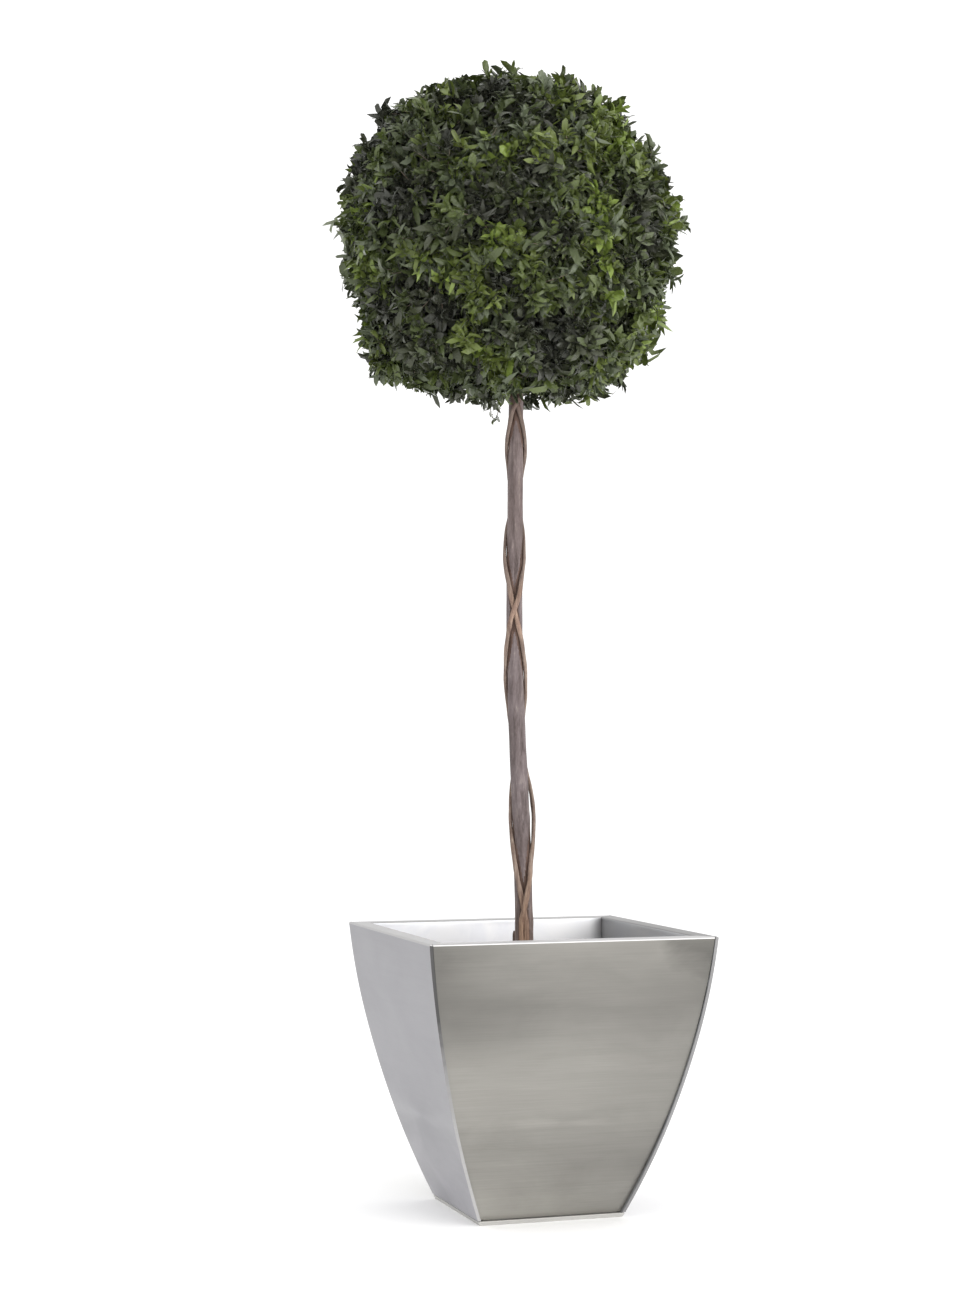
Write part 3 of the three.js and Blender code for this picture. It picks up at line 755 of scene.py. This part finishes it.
def make_winders():
    tones = [(99, 74, 63), (130, 105, 92), (150, 125, 109), (170, 145, 128)]
    grey, dark_top = (0.80, 0.90, 0.98), (0.40, 0.39, 0.42)
    # Darker towards the top, under the crown.
    material = bark("winder_bark", tones, 240, [
        (0, (1, 0.90, 0.76)), (0.12, (0.95, 0.93, 0.86)), (0.22, grey), (0.55, grey),
        (0.615, 1), (0.68, (0.70, 0.79, 0.87)), (0.93, (0.62, 0.70, 0.78)), (1, dark_top)])
    rings, sides = 420, 14
    for name, side, top in (("inner", 1, WINDER_TOP), ("outer", -1, WINDER_TOP - 1 * MM)):
        z = np.linspace(STEM_FOOT + 0.4 * MM, top, rings)
        path = winder_path(side, z)
        waver = np.stack([smooth_noise(path, 0.05, 61 + k + side) for k in range(3)], -1)
        path = path + 0.25 * MM * waver
        radii = WINDER_RADIUS * (1.08 - 0.2 * (z - STEM_FOOT) / (top - STEM_FOOT))
        radii = (radii * (1 + 0.06 * smooth_noise(path, 0.03, 66)))[:, None]
        radii = radii + bark_relief(ring_angles(sides)[None], z[:, None], 0.16 * MM, 68 + side,
                                    (2, 8))
        run = unit(np.gradient(path, axis=0))
        across = unit(np.cross(run, [0.31, 0.95, 0.02]))
        points = pressed(rings_round(path, across, np.cross(run, across), radii), path, z)
        piece = mesh_piece(f"winding_stem_{name}_bark", points.reshape(-1, 3),
                           ring_faces(rings, sides), material, "winder")
        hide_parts(f"winding_stem_{name}")


# ------------------------------------------------------------------ crown

BRANCHES = 40
TWIGS_PER_BRANCH = 3
SPREAD = 0.235
BRANCH_REACH, TWIG_REACH = 0.60, 0.80
HEART_RISE = 55 * MM  # from the trunk's tip to where the crown's own stem forks
STEM_CLEARANCE = 14.5 * MM
CLEAR_TO = STEM_TIP + 30 * MM
LEAF_POINTS = 11


class SprayKind:
    """One kind of leafy twig: how many, where they root, and their leaves. Lengths in mm."""

    def __init__(self, count, root, bulge, radius, leaves, leaf_length, first_leaf, splay=50):
        self.count = count
        self.root = root  # share of the crown's radius where they leave the coarser twigs
        self.bulge = bulge * MM
        self.radius = radius * MM
        self.leaves = leaves
        self.leaf_length = leaf_length * MM
        self.first_leaf = first_leaf  # share of the twig below the first leaves
        self.splay = splay  # degrees between the twig and its first leaves


OUTER = SprayKind(3300, 0.84, 6, 1.1, 16, 19.5, 0.34)  # at the clipped surface
INNER = SprayKind(1200, 0.62, 4, 1.3, 11, 27, 0.35)  # close the view through the ball
STRAY = SprayKind(260, 0.86, 3, 0.9, 11, 19.5, 0.6, 36)  # have grown past the shears
HANGING = SprayKind(3, 0.93, 2, 0.7, 7, 6.5, 0.55)  # thin, under the ball beside the stem
HANGING_ALONG, HANGING_ACROSS, HANGING_LOW = -17 * MM, 3 * MM, -236 * MM

# clumps on the crown: azimuth, elevation and reach in degrees; the young ones are lighter growth,
# the shade clumps painted shade
YOUNG_CLUMPS = ((-131, 33, 9), (-122, 19, 8), (-62, 33, 17), (-33, -37, 12), (-105, -54, 9),
                (-136, -19, 9), (-94, 22, 8), (-130, 3, 6), (-74, -16, 10), (-115, -12, 6),
                (-122, -45, 8), (-166, -20, 8), (60, 30, 14), (110, -20, 12), (160, 10, 12),
                (20, -10, 13), (90, 60, 12))
SHADE_CLUMPS = ((-173, 34, 12), (-139, 24, 8), (-110, 50, 9), (-100, 14, 8), (-144, 7, 8),
               (-139, -6, 7), (-96, -3, 9), (-112, -45, 8), (-139, -35, 9), (-89, -46, 9),
               (-158, -27, 9), (40, 5, 15), (130, 30, 14), (75, -35, 14))
CLUMP_SHIFT = 1.2

POCKET_SHAPE = np.array([1, 1, 0.7])  # the dark hollows are taller than wide
POCKET_DEPTH = 0.07  # this and the next as shares of the radius
TUFT_TOP, TUFT_DROP = 0.950, 0.065
TUFTS = 200  # knots of sprays at the surface

# name, sRGB colour and share of the sprays; the first, a pale grey, is for the sprays inside the
# ball, as painted light that lifts the gaps between the leaves
TONES = [
    ("shade", (118, 120, 112), 0.0005),
    ("deep_a", (51, 53, 44), 0.17),
    ("deep_b", (58, 62, 45), 0.17),
    ("green_a", (67, 76, 45), 0.18),
    ("green_b", (76, 87, 44), 0.17),
    ("grey_green", (86, 94, 72), 0.11),
    ("olive", (93, 105, 50), 0.12),
    ("young", (109, 126, 56), 0.08),
]
INNER_RANK = -8  # below every tone's limit but the first


def crown_radius(directions):
    """Distance from the crown's centre to its clipped outline."""
    elevation = np.degrees(np.arcsin(np.clip(directions[..., 2], -1, 1)))
    left = -(directions @ ALONG)
    radius = np.full(elevation.shape, CROWN_RADIUS)
    for centre, spread, rise, extra in (LOWER_SHOULDER, UPPER_SHOULDER, FLAT_TOP):
        radius = radius + (rise + extra * left) * bell((elevation - centre) / spread)
    angle = np.degrees(np.arctan2(directions[..., 2], -left))
    for centre, spread, rise in UNEVEN:
        away = (angle - centre + 180) % 360 - 180
        radius = radius + rise * np.hypot(left, directions[..., 2]) ** 2 * bell(away / spread)
    return radius


def crown_points(directions, shares):
    return CROWN_CENTRE + directions * (shares * crown_radius(directions))[..., None]


def even_directions(count):
    """Directions spread evenly over the ball by the golden angle."""
    index = np.arange(count)
    z = 1 - 2 * (index + 0.5) / count
    turn = index * np.pi * (3 - math.sqrt(5))
    flat = np.sqrt(1 - z * z)
    return np.stack([flat * np.cos(turn), flat * np.sin(turn), z], -1)


def cross_axes(directions):
    """Two unit vectors at right angles to each direction and to each other."""
    steep = np.abs(directions[..., 2:]) > 0.9
    up = np.where(steep, np.array([1.0, 0, 0]), np.array([0, 0, 1.0]))
    side = unit(np.cross(up, directions))
    return side, np.cross(directions, side)


def curved_paths(start, end, pull, steps):
    """Smooth curves from start to end, bulging by pull: (n, steps, 3)."""
    middle = (start + end) / 2 + pull
    t = np.linspace(0, 1, steps)[None, :, None]
    return ((1 - t) ** 2 * start[:, None] + 2 * t * (1 - t) * middle[:, None]
            + t**2 * end[:, None])


def limb_mesh(paths, root_radius, tip_radius, sides):
    """Tapering tubes along many paths of equal step counts, as one array of points and faces."""
    count, steps = paths.shape[:2]
    radii = np.linspace(root_radius, tip_radius, steps)[:, None] * np.ones(sides)
    points = rings_round(paths, *cross_axes(unit(np.gradient(paths, axis=1))), radii)
    return points.reshape(-1, 3), repeated(ring_faces(steps, sides), count, steps * sides)


def joined(parts):
    """Several (points, [faces]) as one, with faces of one width grouped."""
    points, faces, start = [], {}, 0
    for part_points, part_faces in parts:
        points.append(part_points)
        for group in part_faces:
            faces.setdefault(group.shape[1], []).append(group + start)
        start += len(part_points)
    return np.concatenate(points), [np.concatenate(groups) for groups in faces.values()]


def leaf_points(root, direction, normal, length, width, fold, curl, twist, wave):
    """Eleven points of each leaf: root, three stations of left, middle, right, and tip."""
    local = np.zeros((len(root), LEAF_POINTS, 3))
    for i, (station, share) in enumerate(((0.2, 0.6), (0.55, 1.0), (0.88, 0.84))):
        half = share * width / length / 2
        for k, sign in enumerate((1, 0, -1)):
            row = local[:, 1 + 3 * i + k]
            row[:, 0] = station
            row[:, 1] = sign * half * np.cos(fold)
            row[:, 2] = abs(sign) * half * np.sin(fold)
    local[:, -1, 0] = 1.0
    share = local[..., 0].copy()
    local[..., 2] -= curl[:, None] * share**2 - wave[:, None] * np.sin(2 * np.pi * share)
    local[..., 0] -= 0.35 * curl[:, None] ** 2 * share**3
    angle = twist[:, None] * share
    y, z = local[..., 1].copy(), local[..., 2].copy()
    local[..., 1] = y * np.cos(angle) - z * np.sin(angle)
    local[..., 2] = y * np.sin(angle) + z * np.cos(angle)
    local *= length[:, None, None]
    basis = np.stack([direction, np.cross(normal, direction), normal], 1)
    return root[:, None] + np.einsum("nvk,nkx->nvx", local, basis)


def leaf_triangles():
    """Twelve triangles between a leaf's points."""
    faces = [(0, 2, 1), (0, 3, 2)]
    for i in (1, 4):
        left, middle, right = i, i + 1, i + 2
        faces += [(middle, middle + 3, left + 3), (middle, left + 3, left)]
        faces += [(right, right + 3, middle + 3), (right, middle + 3, middle)]
    return faces + [(8, 10, 7), (9, 10, 8)]


def spray_leaves(paths, outwards, rng, kind):
    """Leaves in crossed pairs along each twig: points (n, 11, 3) and each leaf's spray."""
    count, steps = paths.shape[:2]
    tangent = unit(np.gradient(paths, axis=1))
    pairs = kind.leaves // 2
    points = []
    phase = rng.uniform(0, np.pi, count)
    rows = np.arange(count)
    for k in range(kind.leaves):
        last = k == kind.leaves - 1
        pair = k // 2
        up = kind.first_leaf + (0.97 - kind.first_leaf) * pair / (pairs - 1)
        share = (1.0 if last else up) + rng.normal(0, 0.02, count)
        share = np.clip(share, 0, 1) * (steps - 1)
        index = np.minimum(share.astype(int), steps - 2)
        part = (share - index)[:, None]
        root = paths[rows, index] * (1 - part) + paths[rows, index + 1] * part
        along = unit(tangent[rows, index] * (1 - part) + tangent[rows, index + 1] * part)
        side, other = cross_axes(along)
        turn = phase + (pair % 2) * np.pi / 2 + (k % 2) * np.pi + rng.normal(0, 0.35, count)
        spoke = np.cos(turn)[:, None] * side + np.sin(turn)[:, None] * other
        splay = np.radians(rng.normal(12 if last else kind.splay - 14 * pair / pairs, 18, count))
        direction = np.cos(splay)[:, None] * along + np.sin(splay)[:, None] * spoke
        rise = 0.36 * (1 + outwards[:, 2:]) * np.array([0, 0, 1.0])
        direction = unit(direction + rise + rng.normal(0, 0.16, (count, 3)))
        facing = 0.2 * outwards + np.array([0, 0, 0.3]) + rng.normal(0, 0.75, (count, 3))
        normal = unit(facing - (facing * direction).sum(-1, keepdims=True) * direction)
        length = kind.leaf_length * rng.uniform(0.65, 1.2, count)
        width = length * rng.uniform(0.42, 0.55, count)
        fold = rng.uniform(0.25, 1.05, count)
        curl = rng.normal(0.7, 0.4, count)
        twist = rng.normal(0, 0.9, count)
        wave = rng.normal(0, 0.1, count)
        points.append(leaf_points(root, direction, normal, length, width, fold, curl, twist,
                                  wave))
    return np.concatenate(points), np.tile(rows, kind.leaves)


def clear_of_stem(points):
    """Which leaves or paths, (n, k, 3), keep clear of the stem under and in the crown."""
    z = points[..., 2]
    axis = stem_axis(z)
    gap = np.hypot(points[..., 0] - axis[..., 0], points[..., 1] - axis[..., 1])
    return ((gap > STEM_CLEARANCE) | (z > CLEAR_TO)).all(axis=1)


def grow_limbs(rng):
    """The crown's own stem, its branches and coarser twigs, and where those twigs end."""
    heart = stem_axis(np.array([STEM_TIP + HEART_RISE]))
    foot = stem_axis(np.array([STEM_TIP + 0.5 * MM]))
    branch = even_directions(BRANCHES)
    branch_ends = crown_points(branch, BRANCH_REACH)
    pull = np.array([0, 0, 14 * MM]) + rng.normal(0, 6 * MM, (BRANCHES, 3))
    branch_paths = curved_paths(heart, branch_ends, pull, 10)

    parent = np.repeat(np.arange(BRANCHES), TWIGS_PER_BRANCH)
    side, across = cross_axes(branch)
    turn = rng.uniform(0, 2 * np.pi, BRANCHES)[parent]
    turn = turn + np.tile(np.arange(TWIGS_PER_BRANCH), BRANCHES) * 2 * np.pi / TWIGS_PER_BRANCH
    lean = SPREAD * rng.uniform(0.8, 1.2, len(parent))
    twig = unit(branch[parent] + (lean * np.cos(turn))[:, None] * side[parent]
                + (lean * np.sin(turn))[:, None] * across[parent])
    twig_ends = crown_points(twig, TWIG_REACH)
    twig_paths = curved_paths(branch_ends[parent], twig_ends, rng.normal(0, 4 * MM, twig.shape), 6)
    stem_path = curved_paths(foot, heart, np.zeros((1, 3)), 8)
    limbs = joined([limb_mesh(stem_path, 8.5 * MM, 7 * MM, 14),
                    limb_mesh(branch_paths, 4.2 * MM, 2.6 * MM, 7),
                    limb_mesh(twig_paths, 2.6 * MM, 1.5 * MM, 5)])
    return limbs, twig, twig_ends


def tufted(directions, rng):
    """Which tuft each direction is in, and how far out from its middle, about 0 to 1."""
    middles = unit(even_directions(TUFTS) + rng.normal(0, 0.05, (TUFTS, 3)))
    near = directions @ middles.T
    tuft = np.argmax(near, axis=1)
    away = np.arccos(np.clip(near[np.arange(len(tuft)), tuft], -1, 1))
    return tuft, away / math.sqrt(4 / TUFTS)


def spray_tips(rng):
    """Directions and tips of every kind of spray, and how its place shifts its tone."""
    outer = unit(even_directions(OUTER.count) + rng.normal(0, 0.022, (OUTER.count, 3)))
    tuft, away = tufted(outer, rng)
    tall, pale = rng.normal(0, 0.016, TUFTS), rng.normal(0, 0.4, TUFTS)
    reach = TUFT_TOP + tall[tuft] - TUFT_DROP * away**2 + rng.normal(0, 0.008, OUTER.count)
    pockets = smoothstep(-smooth_noise(outer * CROWN_RADIUS * POCKET_SHAPE, 0.045, 74), 0.6, 1.4)
    reach -= POCKET_DEPTH * pockets
    # Sprays in the hollows and at the tufts' edges take darker tones: painted shade.
    shift = pale[tuft] + 0.5 - 0.8 * away**2 - 1.5 * pockets
    yield OUTER, outer, crown_points(outer, reach.clip(0.84, 0.985)), shift
    inner = unit(even_directions(INNER.count) + rng.normal(0, 0.04, (INNER.count, 3)))
    depth = rng.uniform(0.70, 0.85, INNER.count)
    yield INNER, inner, crown_points(inner, depth), INNER_RANK
    stray = unit(rng.normal(0, 1, (STRAY.count, 3)))
    reach = 0.96 + 0.075 * rng.uniform(0, 1, STRAY.count) ** 1.5
    yield STRAY, stray, crown_points(stray, reach), 0
    place = HANGING_ALONG * ALONG + HANGING_ACROSS * ACROSS + [0, 0, HANGING_LOW]
    tips = CROWN_CENTRE + place + rng.normal(0, 4 * MM, (HANGING.count, 3))
    yield HANGING, unit(tips - CROWN_CENTRE), tips, 0


def tone_ranks(directions, tips, shift, rng):
    """Each spray's rank from dark to young growth: by place, clumps, patches and chance."""
    rank = shift + 0.3 * smooth_noise(tips, 0.085, 72) + rng.normal(0, 0.5, len(tips))
    for clumps, change in ((YOUNG_CLUMPS, CLUMP_SHIFT), (SHADE_CLUMPS, -CLUMP_SHIFT)):
        for azimuth, elevation, reach in clumps:
            near = directions @ heading(azimuth, elevation)
            away = np.degrees(np.arccos(np.clip(near, -1, 1)))
            rank = rank + change * bell(away / reach)
    return rank


def grow_crown():
    """Limbs, fine twigs, leaf points and each leaf's tone."""
    rng = np.random.default_rng(20)
    limbs, twig, twig_ends = grow_limbs(rng)
    fine, leaves, tones = [], [], []
    for kind, directions, tips, shift in spray_tips(rng):
        count = len(tips)
        nearest = np.argmax(directions @ twig.T, axis=1)
        start = CROWN_CENTRE + (twig_ends[nearest] - CROWN_CENTRE) * kind.root / TWIG_REACH
        if kind is HANGING:
            start = tips + [0, 0, (1 - kind.root) * CROWN_RADIUS]
        start = start + rng.normal(0, 3 * MM, (count, 3))
        pull = directions * kind.bulge + rng.normal(0, 5 * MM, (count, 3)) - [0, 0, 3 * MM]
        paths = curved_paths(start, tips, pull, 7)
        ranks = tone_ranks(directions, tips, shift, rng)
        clear = clear_of_stem(paths)
        paths, directions, ranks = paths[clear], directions[clear], ranks[clear]
        fine.append(limb_mesh(paths, kind.radius, 0.45 * MM, 3))
        points, owners = spray_leaves(paths, directions, rng, kind)
        clear = clear_of_stem(points)
        leaves.append(points[clear])
        tones.append(np.searchsorted(tone_limits(), ranks)[owners[clear]])
    return limbs, joined(fine), np.concatenate(leaves), np.concatenate(tones)


def tone_limits():
    """Where a normal random rank passes from one tone to the next, by their shares."""
    shares = np.cumsum([share for _, _, share in TONES])[:-1]
    return [NormalDist().inv_cdf(float(s)) for s in shares]


def make_crown():
    limbs, fine, leaves, tones = grow_crown()
    twig_bark = bark("twig_bark", [(70, 60, 50), (110, 98, 84), (150, 140, 124)], 260)
    pieces = [mesh_piece("crown_branches", *limbs, twig_bark, "bark"),
              mesh_piece("crown_twigs", *fine, twig_bark, "bark")]
    for index, (name, colour, _) in enumerate(TONES):
        chosen = leaves[tones == index]
        faces = repeated([leaf_triangles()], len(chosen), LEAF_POINTS)
        pieces.append(mesh_piece(f"leaves_{name}", chosen.reshape(-1, 3), faces,
                                 leaf_material(f"leaf_{name}", colour), "leaf"))
    for piece in pieces:
        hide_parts("foliage_ball")


# ------------------------------------------------------------------ stage, light and camera


def aimed(name, data, place, towards):
    """A lamp or camera at a place, which looks along a vector."""
    thing = placed(name, data)
    thing.location = place
    thing.rotation_mode = "QUATERNION"
    thing.rotation_quaternion = Vector(towards).to_track_quat("-Z", "Y")
    return thing


def make_camera():
    data = bpy.data.cameras.new("camera")
    data.lens = 68.86
    data.sensor_width = 36
    place, towards = (-1.0602, -3.0830, 0.6235), heading(71.93, 1.81)
    bpy.context.scene.camera = aimed("camera", data, place, towards)


def softbox(name, place, target, size, power, colour=(1, 1, 1)):
    light = bpy.data.lights.new(name, "AREA")
    light.shape = "RECTANGLE"
    light.size, light.size_y = size
    light.energy = power
    light.color = colour
    aimed(name, light, place, Vector(target) - Vector(place))


def make_stage():
    nodes = Nodes("pale_floor")
    nodes.set(Base_Color=(1, 1, 1, 1), Roughness=1.0, Specular_IOR_Level=0.0)
    reach = 30
    corners = [(-reach, -reach, 0), (reach, -reach, 0), (reach, reach, 0), (-reach, reach, 0)]
    mesh = bpy.data.meshes.new("floor")
    mesh.from_pydata(corners, [], [(0, 1, 2, 3)])
    mesh.materials.append(nodes.material)
    placed("floor", mesh)


def make_light():
    world = bpy.data.worlds.new("studio")
    world.use_nodes = True
    background = world.node_tree.nodes["Background"]
    background.inputs["Color"].default_value = (1, 1, 1, 1)
    background.inputs["Strength"].default_value = 1.2
    scene = bpy.context.scene
    scene.world = world
    scene.view_settings.view_transform = "Standard"
    scene.view_settings.look = "None"
    softbox("key", (1.7, -2.9, 0.9), (0, 0, 1.1), (3.0, 2.0), 80, (1.0, 0.99, 0.97))
    softbox("top", (-0.3, -0.4, 3.6), (0, 0, 0.4), (1.8, 1.8), 14)


# ------------------------------------------------------------------ all of it

make_camera()
make_planter()
make_soil()
make_trunk()
make_winders()
make_crown()
make_stage()
make_light()
